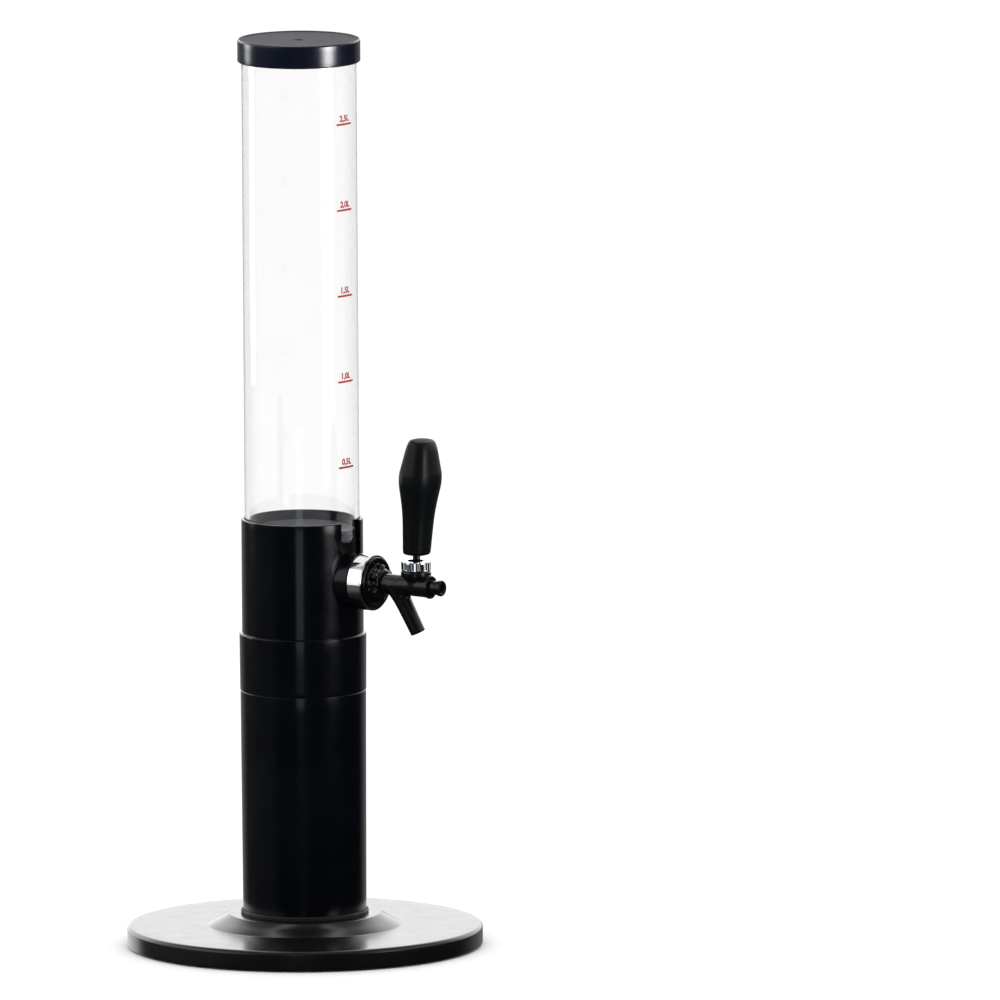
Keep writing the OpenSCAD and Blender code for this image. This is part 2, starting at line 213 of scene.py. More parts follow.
def turned(outline, h=0.08, pad=2.5):
    """The distance to a turned outline, by distance from the axis and place along it, looked up in a fine table."""
    o = np.array([p[:2] for p in outline], float)
    xs = np.arange(0, o[:, 0].max() + pad + h, h)
    y0 = o[:, 1].min() - pad
    ys = np.arange(y0, o[:, 1].max() + pad + h, h)
    gx, gy = np.meshgrid(xs, ys, indexing="ij")
    T = sd_outline(gx.ravel(), gy.ravel(), [tuple(p) for p in o]).reshape(gx.shape)

    def look(px, py):
        cx, cy = np.clip(px, 0, xs[-2]), np.clip(py, y0, ys[-2])
        u, v = cx / h, (cy - y0) / h
        i = np.minimum(u.astype(int), len(xs) - 2)
        j = np.minimum(v.astype(int), len(ys) - 2)
        a, b = u - i, v - j
        d = (T[i, j] * (1 - a) + T[i + 1, j] * a) * (1 - b) + (T[i, j + 1] * (1 - a) + T[i + 1, j + 1] * a) * b
        return d + np.hypot(px - cx, py - cy)

    return look


def smin(a, b, k):
    h = np.clip(0.5 + 0.5 * (b - a) / k, 0, 1)
    return b * (1 - h) + a * h - k * h * (1 - h)


def smax(a, b, k):
    return -smin(-a, -b, k)


def nets(f, lo, hi, h, relax=2):
    """Closed mesh of the surface f = 0 on a grid of spacing h, its points moved onto the surface."""
    ax = [np.arange(lo[i] - 1.5 * h, hi[i] + 2.5 * h, h) for i in range(3)]
    gx, gy, gz = np.meshgrid(*ax, indexing="ij")
    F = f(gx.ravel(), gy.ravel(), gz.ravel()).reshape(gx.shape)
    S = F < 0
    c = (slice(0, -1), slice(1, None))
    count = sum(S[c[i], c[j], c[k]].astype(np.int8) for i in (0, 1) for j in (0, 1) for k in (0, 1))
    act = (count > 0) & (count < 8)
    cells = np.argwhere(act)
    idx = -np.ones(act.shape, np.int64)
    idx[act] = np.arange(len(cells))
    pos, num = np.zeros((len(cells), 3)), np.zeros(len(cells))
    for axis in range(3):
        u = np.eye(3, dtype=int)[axis]
        others = [i for i in range(3) if i != axis]
        for a in (0, 1):
            for b in (0, 1):
                off = np.zeros(3, int)
                off[others[0]], off[others[1]] = a, b
                p0 = cells + off
                p1 = p0 + u
                f0, f1 = F[tuple(p0.T)], F[tuple(p1.T)]
                m = (f0 < 0) != (f1 < 0)
                t = f0[m] / (f0[m] - f1[m])
                pos[m] += p0[m] + t[:, None] * u
                num[m] += 1
    origin = np.array([a[0] for a in ax])
    pos = pos / num[:, None] * h + origin
    quads = []
    for axis in range(3):
        v, w = [i for i in range(3) if i != axis]
        s0 = [slice(None)] * 3
        s1 = [slice(None)] * 3
        s0[axis], s1[axis] = slice(0, -1), slice(1, None)
        edge = np.argwhere(S[tuple(s0)] != S[tuple(s1)])
        ok = (edge[:, v] > 0) & (edge[:, w] > 0) & (edge[:, v] < S.shape[v] - 1) & (edge[:, w] < S.shape[w] - 1)
        edge = edge[ok]
        ev, ew = np.eye(3, dtype=int)[v], np.eye(3, dtype=int)[w]
        q = np.stack([idx[tuple((edge - ev - ew).T)], idx[tuple((edge - ew).T)],
                      idx[tuple(edge.T)], idx[tuple((edge - ev).T)]], 1)
        quads.append(q)
    quads = np.concatenate(quads)

    def onto(p, rounds):
        e = 0.04
        ks = ((1, -1, -1), (-1, -1, 1), (-1, 1, -1), (1, 1, 1))
        for _ in range(rounds):
            fs = [f(p[:, 0] + a * e, p[:, 1] + b * e, p[:, 2] + c * e) for a, b, c in ks]
            v = sum(fs) / 4
            g = sum(np.array(k, float)[None, :] * q[:, None] for k, q in zip(ks, fs)) / (4 * e)
            step = np.clip(v / np.maximum((g ** 2).sum(1), 0.25), -0.6 * h, 0.6 * h)
            p = p - step[:, None] * g
        return p

    pos = onto(pos, 3)
    for _ in range(relax):
        acc, cnt = np.zeros_like(pos), np.zeros(len(pos))
        for i in range(4):
            a, b = quads[:, i], quads[:, (i + 1) % 4]
            np.add.at(acc, a, pos[b])
            np.add.at(acc, b, pos[a])
            np.add.at(cnt, a, 1)
            np.add.at(cnt, b, 1)
        pos = onto(0.5 * pos + 0.5 * acc / np.maximum(cnt, 1)[:, None], 2)
    return pos.tolist(), [tuple(q) for q in quads.tolist()]


# ----------------------------------------------------------------- materials


class Mat:
    """One material with a single Principled shader and a small node helper."""

    def __init__(self, name, **sockets):
        self.m = bpy.data.materials.new(name)
        self.m.use_nodes = True
        self.t = self.m.node_tree
        self.b = next(n for n in self.t.nodes if n.type == "BSDF_PRINCIPLED")
        for k, v in sockets.items():
            self.b.inputs[k.replace("_", " ")].default_value = v
        self.co = self.t.nodes.new("ShaderNodeTexCoord").outputs["Object"]

    def link(self, a, b):
        self.t.links.new(a, b)
        return b

    def scaled(self, sx, sy, sz, rot=(0, 0, 0)):
        n = self.t.nodes.new("ShaderNodeMapping")
        n.inputs["Scale"].default_value = (sx, sy, sz)
        n.inputs["Rotation"].default_value = rot
        self.link(self.co, n.inputs["Vector"])
        return n.outputs["Vector"]

    def noise(self, scale, detail=3.0, rough=0.55, vec=None, distortion=0.0):
        n = self.t.nodes.new("ShaderNodeTexNoise")
        n.inputs["Scale"].default_value = scale
        n.inputs["Detail"].default_value = detail
        n.inputs["Roughness"].default_value = rough
        n.inputs["Distortion"].default_value = distortion
        self.link(vec if vec is not None else self.co, n.inputs["Vector"])
        return n.outputs["Fac"]

    def voronoi(self, scale, feature="F1", vec=None):
        n = self.t.nodes.new("ShaderNodeTexVoronoi")
        n.feature = feature
        n.inputs["Scale"].default_value = scale
        self.link(vec if vec is not None else self.co, n.inputs["Vector"])
        return n.outputs["Distance"]

    def rng(self, x, a, b, c, d, kind="LINEAR"):
        n = self.t.nodes.new("ShaderNodeMapRange")
        n.interpolation_type = kind
        for k, v in zip(("From Min", "From Max", "To Min", "To Max"), (a, b, c, d)):
            n.inputs[k].default_value = v
        self.link(x, n.inputs["Value"])
        return n.outputs["Result"]

    def math(self, op, a, b=None, clamp=False):
        n = self.t.nodes.new("ShaderNodeMath")
        n.operation, n.use_clamp = op, clamp
        for i, v in enumerate((a, b)):
            if v is None:
                continue
            if isinstance(v, (int, float)):
                n.inputs[i].default_value = v
            else:
                self.link(v, n.inputs[i])
        return n.outputs[0]

    def mix(self, fac, a, b):
        n = self.t.nodes.new("ShaderNodeMix")
        n.data_type = "RGBA"
        for sock, v in ((0, fac), (6, a), (7, b)):
            if isinstance(v, (int, float)):
                n.inputs[sock].default_value = v
            elif isinstance(v, tuple):
                n.inputs[sock].default_value = (*v, 1.0)
            else:
                self.link(v, n.inputs[sock])
        return n.outputs[2]

    def bump(self, height, strength, distance, normal=None):
        n = self.t.nodes.new("ShaderNodeBump")
        n.inputs["Strength"].default_value = strength
        n.inputs["Distance"].default_value = distance
        self.link(height, n.inputs["Height"])
        if normal is not None:
            self.link(normal, n.inputs["Normal"])
        return n.outputs["Normal"]

    def color(self, x):
        self.link(x, self.b.inputs["Base Color"])

    def roughness(self, x):
        self.link(x, self.b.inputs["Roughness"])

    def normal(self, x):
        self.link(x, self.b.inputs["Normal"])


def moulded(name, dark, light, r0, r1, grain=2600.0, relief=0.004, peel=0.003, dust=0.02,
            streaks=0.0, spec=0.3, matte=None, wall=None):
    """Injection moulded plastic: colour drift, grain, a soft waviness, dust specks and hairline scratches.
    relief and peel are the steepest slopes of the grain and of the waviness. matte is (lowest z, largest distance
    from the axis, added roughness) in metres, for a face that the mould leaves matte. wall is (distance from the axis,
    colour) for the outside of a turned part."""
    k = Mat(name, Specular_IOR_Level=spec, IOR=1.5)
    drift = k.rng(k.noise(14, 4), 0.3, 0.7, 0, 1, "SMOOTHSTEP")
    speck = k.rng(k.noise(1500, 2, 0.5), 0.72, 0.78, 0, 1)
    scr = k.noise(1.0, 3, 0.6, k.scaled(160, 900, 60, (0.5, 0.3, 0.9)))
    hair = k.rng(scr, 0.66, 0.70, 0, 1)
    col = k.mix(drift, dark, light)
    sep = k.t.nodes.new("ShaderNodeSeparateXYZ")
    k.link(k.co, sep.inputs[0])
    q = k.math("SQRT", k.math("ADD", k.math("MULTIPLY", sep.outputs["X"], sep.outputs["X"]),
                              k.math("MULTIPLY", sep.outputs["Y"], sep.outputs["Y"])))
    if wall:
        col = k.mix(k.rng(q, wall[0] - 0.0003, wall[0] + 0.0003, 0, 1), col, wall[1])
    col = k.mix(k.math("MULTIPLY", speck, dust), col, (0.35, 0.34, 0.33))
    k.color(col)
    r = k.rng(k.noise(55, 5, 0.65), 0.25, 0.75, r0, r1)
    r = k.math("ADD", r, k.math("MULTIPLY", hair, 0.03))
    r = k.math("ADD", r, k.math("MULTIPLY", speck, 0.06), True)
    if matte:
        on = k.math("MULTIPLY", k.rng(sep.outputs["Z"], matte[0] - 0.0004, matte[0], 0, 1),
                    k.rng(q, matte[1] - 0.0006, matte[1], 1, 0))
        r = k.math("ADD", r, k.math("MULTIPLY", on, matte[2]), True)
    k.roughness(r)
    n = k.bump(k.noise(70, 2, 0.4), 1.0, peel / 132)
    if streaks:
        n = k.bump(k.noise(1.0, 3, 0.5, k.scaled(420, 420, 5)), 1.0, streaks / 790, n)
    n = k.bump(k.noise(grain, 2, 0.5), 1.0, relief / (1.9 * grain), n)
    k.normal(n)
    return k.m


gloss_black = moulded("gloss_black_plastic", (0.0008, 0.0012, 0.0023), (0.0016, 0.0022, 0.0036), 0.11, 0.18,
                      relief=0.006, peel=0.006, streaks=0.006, spec=0.28)
base_black = moulded("base_satin_black", (0.0020, 0.0021, 0.0026), (0.0034, 0.0035, 0.0040), 0.215, 0.255,
                     grain=1500, relief=0.014, peel=0.004, dust=0.03, spec=0.5)
satin_black = moulded("satin_black_plastic", (0.0018, 0.0020, 0.0026), (0.0034, 0.0036, 0.0042), 0.22, 0.30,
                      grain=3200, relief=0.015, spec=0.28)
# The plug is black plastic. Its funnel face is coloured a lit grey-blue: painted light standing in for the light that
# reaches it through the tube. Only its outside wall (wall=) keeps the plastic's own near-black.
plug_painted_lit = moulded("plug_black_plastic", (0.112, 0.126, 0.158), (0.142, 0.158, 0.194), 0.26, 0.36,
                     grain=2400, relief=0.02, peel=0.008, dust=0.03, spec=0.12, wall=(0.0453, (0.003, 0.003, 0.004)))
tap_black = moulded("tap_black_plastic", (0.0014, 0.0015, 0.0019), (0.0030, 0.0031, 0.0037), 0.14, 0.22,
                    grain=3000, relief=0.010, peel=0.010, spec=0.40)
grip_black = moulded("grip_black_plastic", (0.0010, 0.0017, 0.0024), (0.0020, 0.0029, 0.0037), 0.33, 0.41,
                     grain=2600, relief=0.020, peel=0.012, spec=0.20, matte=(0.4537, 1.0, 0.24))
lid_navy = moulded("lid_navy_plastic", (0.0020, 0.0040, 0.0105), (0.0034, 0.0060, 0.0140), 0.19, 0.24,
                   grain=2400, relief=0.012, peel=0.006, dust=0.03, spec=0.42, matte=(0.7950, 0.0525, 0.50))
white_plastic = moulded("white_acetal", (0.62, 0.61, 0.57), (0.70, 0.69, 0.66), 0.35, 0.5, spec=0.5)


def rubber():
    k = Mat("black_rubber", Specular_IOR_Level=0.35)
    f = k.rng(k.noise(30, 5, 0.6), 0.3, 0.7, 0, 1)
    bloom = k.rng(k.noise(420, 3, 0.6), 0.58, 0.75, 0, 0.35)
    k.color(k.mix(bloom, k.mix(f, (0.004, 0.004, 0.004), (0.008, 0.008, 0.008)), (0.025, 0.025, 0.024)))
    k.roughness(k.rng(k.noise(90, 4, 0.6), 0.3, 0.7, 0.5, 0.68))
    k.normal(k.bump(k.noise(2300, 3, 0.6), 0.3, 0.00006))
    return k.m


def metal(name, a, b, r0, r1, line=(1, 1, 1), line_strength=0.05, pits=0.0):
    k = Mat(name, Metallic=1.0)
    f = k.rng(k.noise(45, 4, 0.6), 0.3, 0.7, 0, 1)
    col = k.mix(f, a, b)
    if pits:
        spot = k.rng(k.noise(800, 3, 0.6), 0.62, 0.72, 0, pits)
        col = k.mix(spot, col, tuple(0.45 * c for c in a))
    k.color(col)
    k.roughness(k.rng(k.noise(130, 5, 0.7), 0.3, 0.7, r0, r1))
    n = k.bump(k.noise(1.0, 3, 0.6, k.scaled(*line)), line_strength, 0.00005)
    if pits:
        n = k.bump(k.noise(600, 4, 0.65), 0.4, 0.0002, n)
    k.normal(n)
    return k.m


black_rubber = rubber()
chrome = metal("polished_chrome", (0.80, 0.81, 0.83), (0.88, 0.89, 0.90), 0.035, 0.075, (2600, 60, 2600), 0.04)
steel = metal("zinc_steel", (0.52, 0.53, 0.55), (0.63, 0.63, 0.64), 0.24, 0.38, (900, 900, 900), 0.15)
brass = metal("brass", (0.72, 0.50, 0.20), (0.82, 0.60, 0.28), 0.2, 0.32, (1500, 1500, 200), 0.15)
cast = metal("cast_weight", (0.20, 0.20, 0.21), (0.28, 0.28, 0.28), 0.5, 0.68, (700, 700, 700), 0.2, pits=0.6)


def clear():
    k = Mat("clear_acrylic", IOR=1.49, Transmission_Weight=1.0, Specular_IOR_Level=0.5)
    f = k.rng(k.noise(9, 3, 0.5), 0.3, 0.7, 0, 1)
    # The colour greys towards grazing angles: painted shade standing in for the grey bands that refraction of the
    # surroundings gives at the tube's edges.
    edge_shade_weight = k.t.nodes.new("ShaderNodeLayerWeight")
    edge_shade_weight.inputs["Blend"].default_value = 0.5
    edge = k.rng(edge_shade_weight.outputs["Facing"], 0.32, 0.74, 0, 1, "SMOOTHSTEP")
    k.color(k.mix(edge, k.mix(f, (0.974, 0.976, 0.973), (0.962, 0.965, 0.962)), (0.885, 0.890, 0.888)))
    smear = k.rng(k.noise(26, 5, 0.7, k.scaled(1, 1, 0.6)), 0.52, 0.72, 0.0, 0.03)
    k.roughness(k.math("ADD", smear, 0.004))
    k.normal(k.bump(k.noise(1.0, 2, 0.4, k.scaled(70, 70, 1.6)), 1.0, 0.006 / 132))
    return k.m


def ink():
    k = Mat("red_ink", Specular_IOR_Level=0.4)
    f = k.rng(k.noise(1100, 4, 0.65), 0.3, 0.7, 0, 1)
    k.color(k.mix(f, (0.38, 0.006, 0.008), (0.52, 0.015, 0.015)))
    k.roughness(k.rng(k.noise(500, 3), 0.3, 0.7, 0.38, 0.55))
    k.normal(k.bump(k.noise(2600, 2), 0.15, 0.00003))
    return k.m


clear_acrylic, red_ink = clear(), ink()

# --------------------------------------------------------------------- stand

base_prof = ([(152.4, 1.2)] + arc(153.2, 3, 1.8, -60, 0, 6) + arc(151.3, 14.8, 3.7, 0, 90, 16)
             + arc(85.5, 23.5, 5, -90, -126, 8) + arc(65.4, 26.4, 2.6, 40, 90, 8)
             + rounded([(64.0, 29), (54.35, 29, 0.25), (54.05, 28.6, 0.2), (54.05, 25)])[1:]
             + [(50.3, 25), (50.3, 18), (57, 18), (57, 25.5), (64.2, 25.5), (78.5, 15.5), (150, 15.5),
                (152, 13.5), (152, 1.2)])
piece("base_shell_skin", mesh_of("base_shell_skin", lathe_data(subdivided(base_prof, 16), 288)),
      base_black, "stand", "gloss_black", "base_shell")

ring_prof = rounded([(54.0, 29), (55.6, 29, 0.3), (55.6, 31.6, 0.9), (54.6, 32.7, 0.5), (54.0, 32.7, 0.2)])
piece("foot_ring_skin", mesh_of("foot_ring_skin", lathe_data(ring_prof, 256)),
      black_rubber, "stand", "rubber", "foot_ring")

column_prof = rounded([(50.25, 25), (53.35, 25, 0.2), (53.75, 25.4, 0.2), (54.75, 225.3, 0.4),
                       (54.1, 226, 0.3), (51.25, 226, 0.2)])
piece("column_skin", mesh_of("column_skin", lathe_data(subdivided(column_prof, 14), 256)),
      gloss_black, "stand", "gloss_black", "column")

collar_prof = ([(4.4, 226), (47.8, 226), (47.8, 208), (50.6, 208), (50.95, 208.6), (50.95, 226)]
               + rounded([(51.0, 226), (54.6, 226, 0.25), (54.95, 226.5, 0.25), (54.97, 230)])[1:]
               + arc(54.3, 275, 1, 0, 90, 9)
               + [(51.75, 276), (51.75, 254), (48, 254), (48, 230), (4.4, 230)])
piece("collar_skin", mesh_of("collar_skin", lathe_data(subdivided(collar_prof, 12), 256)),
      gloss_black, "stand", "gloss_black", "collar")

housing_prof = ([(48.9, 254.4), (51.3, 254.4), (51.6, 255), (51.6, 276), (53, 276)]
                + arc(52.1, 375.5, 0.9, 0, 90, 9)
                + rounded([(51.5, 376.4), (51.1, 376.4, 0.3), (50.6, 375.9, 0.3), (50.6, 370)])[1:-1]
                + [(50.6, 298), (44, 298), (44, 294), (48.9, 289.1)])
n = 48
under = [(15.2 * math.cos(-math.pi * i / n), 15.2 * math.sin(-math.pi * i / n)) for i in range(n + 1)]
slot = [(15.2, 60.0)] + under + [(-15.2, 60.0)]
sv = [(x, -42.0, TAP + z) for x, z in slot] + [(x, -62.0, TAP + z) for x, z in slot]
m = len(slot)
sf = [tuple(range(m)), tuple(range(2 * m - 1, m - 1, -1))] + [(i, (i + 1) % m, (i + 1) % m + m, i + m) for i in range(m)]
housing_me = cut(mesh_of("housing_skin", lathe_data(subdivided(housing_prof, 9), 288)), (sv, sf), 30)
piece("housing_skin", housing_me, gloss_black, "stand", "gloss_black", "housing")

pads = []
for i in range(6):
    a = math.radians(30 + 60 * i)
    pads.append(lathe_data(
        [(0, 0.35), (2.4, 0.35), (2.7, 0), (4.3, 0), (4.6, 0.4), (5.2, 0.4), (5.5, 0), (7.1, 0), (7.4, 0.4),
         (8.0, 0.4), (8.3, 0), (9.9, 0), (10.2, 0.3), (10.6, 0.3), (10.9, 0.0), (11.3, 0.0), (11.75, 0.2), (12, 0.6),
         (12, 2.2), (0, 2.2)],
        48, Matrix.Translation((124 * math.cos(a), 124 * math.sin(a), 0))))
piece("foot_pads_skin", mesh_of("foot_pads_skin", joined(pads), 25), black_rubber, "stand", "rubber", "foot_pads")


screw_side = turned([(0, 1.9), (3.7, 1.9), (3.85, 2.05), (1.9, 3.9), (1.55, 4.2), (1.55, 12.5), (0.8, 13.4), (0, 13.4)])


def screw_f(x, y, z):
    q = np.hypot(x, y)
    f = screw_side(q, z)
    cross = np.minimum(np.maximum(np.abs(x) - 0.42, np.abs(y) - 1.9), np.maximum(np.abs(y) - 0.42, np.abs(x) - 1.9))
    deep = z - (3.9 - 0.55 * q)
    f = np.maximum(f, -np.maximum(cross, deep))
    return f


one = nets(screw_f, (-4, -4, 1.8), (4, 4, 13.5), 0.22, 1)
screws = []
for i in range(6):
    a = math.radians(60 * i)
    cx, cy = 142 * math.cos(a), 142 * math.sin(a)
    ca, sa = math.cos(a + 0.4 * i), math.sin(a + 0.4 * i)
    screws.append(([(cx + v[0] * ca - v[1] * sa, cy + v[0] * sa + v[1] * ca, v[2]) for v in one[0]], one[1]))
piece("base_screws_skin", mesh_of("base_screws_skin", joined(screws), 35), steel, "stand", "steel", "base_screws")

# ---------------------------------------------------------------------- tank

plug_prof = ([(47, 353), (47, 359), (45.8, 359), (45.8, 361.6), (44.2, 361.6), (44.2, 364.2), (45.8, 364.2)]
             + rounded([(45.8, 365), (45.8, 368.1, 0.5), (45.1, 368.5, 0.35), (43.9, 368.5, 0.45), (43.1, 367.9, 0.9),
                        (17.2, 365.2, 2.4), (15.0, 363.2, 1.2), (15.0, 360.5)])[1:]
             + [(41.2, 360.5), (41.2, 356.5), (43, 353)])
# The plug's funnel face carries painted light from its material above; its outside wall is the plastic's own
# near-black.
piece("tank_plug_skin", mesh_of("tank_plug_skin", lathe_data(subdivided(plug_prof, 4), 256)),
      plug_painted_lit, "tank", "satin_black", "tank_plug")

tube_prof = rounded([(46, 359), (49.6, 359, 0.15), (50, 359.4, 0.2), (50, 793, 0.8), (46, 793, 0.8)], 15)
piece("tank_tube_skin", mesh_of("tank_tube_skin", lathe_data(subdivided(tube_prof, 24), 288)),
      clear_acrylic, "tank", "clear_tube", "tank_tube")

# ------------------------------------------------------- printed scale


def wrapped(verts, phi0, z0, mid=50.09):
    """Puts flat drawing points (across, up, out) in mm on the outside of the tube; phi is measured from -Y towards +X."""
    out = []
    for u, v, w in verts:
        r = mid + w
        p = phi0 + u / 50.0
        out.append((r * math.sin(p), -r * math.cos(p), z0 + v))
    return out


def numeral(text, height):
    cu = bpy.data.curves.new("numeral", "FONT")
    cu.body, cu.size, cu.align_x, cu.resolution_u = text, 1.0, "CENTER", 6
    cu.offset = 0.034
    cu.extrude = 0.01
    o = bpy.data.objects.new("numeral", cu)
    bpy.context.scene.collection.objects.link(o)
    dg = bpy.context.evaluated_depsgraph_get()
    me = bpy.data.meshes.new_from_object(o.evaluated_get(dg))
    v = np.array([x.co for x in me.vertices], float)
    f = [tuple(p.vertices) for p in me.polygons]
    bpy.data.objects.remove(o)
    bpy.data.meshes.remove(me)
    bpy.data.curves.remove(cu)
    top = v[:, 1].max()
    s = height / top
    v[:, 0] *= s * 0.98
    v[:, 0] -= (v[:, 0].max() + v[:, 0].min()) / 2
    v[:, 1] *= s
    v[:, 2] = np.where(v[:, 2] > 0, 0.07, -0.07)
    return v, f


PHI = math.radians(-5.0)
prints = []
for i, label in enumerate(("0,5L", "1,0L", "1,5L", "2,0L", "2,5L")):
    z = 425.0 + 75.2 * i
    k, half, bar_v, bar_f = 40, math.radians(11.5) * 50.0, [], []
    for j in range(k + 1):
        u = -half + 2 * half * j / k
        for v, w in ((-0.85, -0.07), (0.85, -0.07), (0.85, 0.07), (-0.85, 0.07)):
            bar_v.append((u, v, w))
    for j in range(k):
        for c in range(4):
            d = (c + 1) % 4
            bar_f.append((4 * j + c, 4 * j + d, 4 * j + 4 + d, 4 * j + 4 + c))
    bar_f += [(0, 1, 2, 3), (4 * k + 3, 4 * k + 2, 4 * k + 1, 4 * k)]
    prints.append((wrapped(bar_v, PHI, z), bar_f))
    nv, nf = numeral(label, 5.4)
    prints.append((wrapped(nv, PHI, z + 2.6), nf))
piece("scale_print", mesh_of("scale_print", joined(prints), 30), red_ink, "tank", "red_print", "scale_marks")

# ----------------------------------------------------------------------- lid

lid_prof = rounded([(50.5, 777.6), (51.0, 777, 0.25), (52.6, 777, 0.5), (53.5, 777.8, 0.7), (53.5, 797, 3.7),
                    (49.6, 797, 0.7), (48.6, 796.35, 0.8), (30, 795.95, 3), (4.4, 795.72, 0.3), (2.0, 794.2, 0.3),
                    (2.0, 793, 0.1), (50.5, 793)])
piece("lid_skin", mesh_of("lid_skin", lathe_data(subdivided(lid_prof, 5), 288)), lid_navy, "lid", "lid_plastic", "lid")

# ----------------------------------------------------------------------- tap

saddle_disc = turned(rounded([(0, 44), (24.2, 44), (24.2, 61.4, 0.9), (0, 61.4)]))


def saddle_f(x, y, z):
    q, t, w = np.hypot(x, z - TAP), -y, np.hypot(x, y)
    disc = saddle_disc(q, t)
    disc = np.maximum(disc, 53.4 - w)
    tongue = np.maximum(np.maximum(q - 14.8, 40 - t), t - 60)
    f = np.minimum(disc, tongue)
    f = np.maximum(f, 50.15 - w)
    return np.maximum(f, 8.3 - q)


piece("saddle_skin", mesh_of("saddle_skin", nets(saddle_f, (-24.4, -61.5, TAP - 24.4), (24.4, -44, TAP + 24.4), 0.5), 38),
      gloss_black, "tank", "satin_black", "saddle")

ring_out = rounded([(8.3, 72.6), (21.8, 72.6, 0.5), (21.8, 61.5, 0.2), (24.0, 61.5, 0.45), (24.6, 62.3, 0.7),
                    (24.6, 76.0, 1.7), (22.6, 76.0, 0.2), (8.3, 75.98)])
piece("escutcheon_skin", mesh_of("escutcheon_skin", lathe_data(subdivided(ring_out, 3), 256, ON_TAP), 40),
      chrome, "tank", "chrome", "escutcheon")

disc_out = turned([(0, 76.1)] + rounded([(0, 76.1), (21.4, 76.1, 0.4), (22.2, 76.7, 0.5), (22.2, 78.1, 0.7), (20.6, 78.35, 0.4),
                                          (16.5, 77.9, 3), (14.2, 78.6, 1.5), (13.2, 80.4, 2), (12.7, 84, 2),
                                          (11.7, 85.6, 1.0), (10.2, 86, 0.6), (0, 86)])[1:])
lobes = [(12.9 * math.cos(math.radians(30 + 60 * i)), 12.9 * math.sin(math.radians(30 + 60 * i))) for i in range(6)]


def coupling_f(x, y, z):
    zz, t = z - TAP, -y
    q = np.hypot(x, zz)
    f = disc_out(q, t)
    for lx, lz in lobes:
        d = np.hypot(x - lx, zz - lz)
        lobe = smax(d - 3.4, np.sqrt(d ** 2 + (t - 79) ** 2) - 5.8, 0.8)
        lobe = np.maximum(lobe, 77.0 - t)
        f = smin(f, lobe, 0.9)
    bore = np.minimum(np.maximum(q - 11.2, t - 80.8), q - 9.1)
    return smax(f, -bore, 0.25)


piece("coupling_ring_skin", mesh_of("coupling_ring_skin", nets(coupling_f, (-22.4, -86.3, TAP - 22.4), (22.4, -76, TAP + 22.4), 0.36), 60),
      tap_black, "tank", "tap_black", "coupling_ring")

barrel = turned(rounded([(0, 78), (10.9, 78, 0.3), (10.9, 80.6, 0.4), (8.8, 80.6, 0.5), (8.7, 104), (9.1, 128),
                           (9.2, 131.5, 0.8), (10.0, 131.7, 0.4), (10.1, 134, 0.7), (0, 134)]))
spout = turned(rounded([(0, 0), (8.4, 0), (8.4, 8, 6), (7.6, 14, 8), (7.2, 22, 12), (6.6, 46.8, 0.5), (0, 46.8)]))
boss = turned(rounded([(0, 0), (8.6, 0), (9.2, 5.5, 3), (12.6, 8.6, 1.2), (13.2, 9.4, 0.8), (13.2, 12.6, 0.6),
                         (12.4, 13.5, 0.4), (9.4, 13.5, 0.2), (9.4, 17.7), (0, 17.7)]))
chamber = turned([(0, 76), (6, 76), (6, 86.6), (4.75, 86.6), (4.75, 102.5), (5.65, 102.5), (5.65, 104.6),
                    (4.05, 104.6), (4.05, 127), (5.65, 127), (5.65, 136), (0, 136)])
bore = turned([(0, -1), (5, -1), (5, 36.8), (5.4, 37.0), (5.4, 50), (0, 50)])


def tap_f(x, y, z):
    zz, t = z - TAP, -y
    q = np.hypot(x, zz)
    f = barrel(q, t)
    dy = y + 96.5
    s = -0.5 * dy - 0.8660254 * zz
    qs = np.sqrt(x ** 2 + (dy + 0.5 * s) ** 2 + (zz + 0.8660254 * s) ** 2)
    f = smin(f, spout(qs, s), 3.2)
    w = np.hypot(x, y + LEVER)
    f = smin(f, boss(w, zz), 1.2)
    f = np.maximum(f, t - 134.0)
    f = smax(f, -bore(qs, s), 0.3)
    f = np.maximum(f, -chamber(q, t))
    arm = np.maximum(np.maximum(np.abs(x) - 2.7, np.abs(y + 114.2) - 6.3), np.abs(zz - 7.5) - 5.5)
    ball = np.sqrt(w ** 2 + (zz - 15.5) ** 2) - 5.68
    top = np.maximum(w - 8.35, 15.5 - zz)
    ears = np.maximum(np.hypot(y + LEVER, zz - 15.5) - 1.4, np.abs(x) - 7.9)
    return np.maximum(f, -np.minimum(np.minimum(arm, ball), np.minimum(top, ears)))


piece("tap_body_skin", mesh_of("tap_body_skin", nets(tap_f, (-13.4, -134.2, TAP - 46), (13.4, -78, TAP + 17.9), 0.38), 55),
      tap_black, "tank", "tap_black", "tap_body")


def hexed(r, th, z):
    if abs(r - 3.1) < 1e-6 or abs(r - 3.25) < 1e-6:
        return r * math.cos(math.pi / 6) / math.cos((th % (math.pi / 3)) - math.pi / 6)
    return r


cap_prof = ([(0, 128), (4.6, 128), (4.6, 130), (5.45, 130), (5.5, 134)]
            + rounded([(5.6, 134), (6.3, 134, 0.15), (6.1, 140.6, 0.8), (6.9, 142.0, 0.5), (7.0, 144.6, 0.6),
                       (6.2, 145.4, 0.5), (4.9, 145.35, 0.3), (4.5, 144.9, 0.3), (3.6, 144.85)])[1:]
            + [(3.25, 144.85), (3.1, 144.7), (3.1, 143.0), (0, 142.9)])
piece("end_cap_skin", mesh_of("end_cap_skin", lathe_data(cap_prof, 120, ON_TAP, hexed), 40),
      tap_black, "tank", "tap_black", "end_cap")


